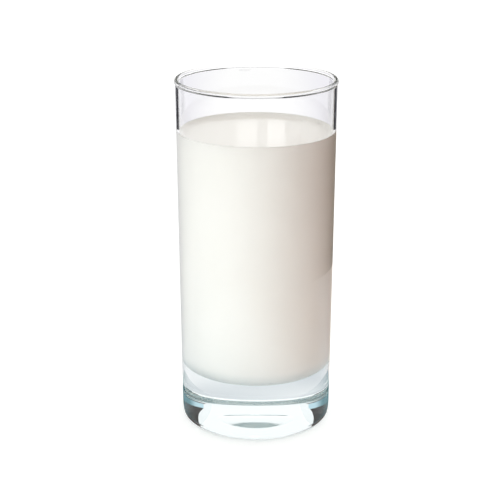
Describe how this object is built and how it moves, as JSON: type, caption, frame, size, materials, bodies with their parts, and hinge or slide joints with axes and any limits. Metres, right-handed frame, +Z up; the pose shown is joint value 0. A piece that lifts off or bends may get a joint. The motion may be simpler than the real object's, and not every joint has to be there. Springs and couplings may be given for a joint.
{
  "type": "glass of milk",
  "caption": "Tall clear heavy-based highball tumbler with a beaded rim, filled with milk to a little below the brim, for serving and drinking.",
  "frame": {"origin": "centre of the ring the tumbler stands on, on the table surface", "axes": "+Z up along the tumbler's axis; +X and +Y across it, all directions alike"},
  "size_m": [0.068, 0.068, 0.15],
  "materials": {
    "clear_glass": "clear, smooth, fire polished, faint blue-green in the thick base",
    "milk": "opaque warm white liquid with a wet surface"
  },
  "bodies": {
    "root": {"tumbler": "clear_glass", "milk": "milk"}
  },
  "joints": []
}
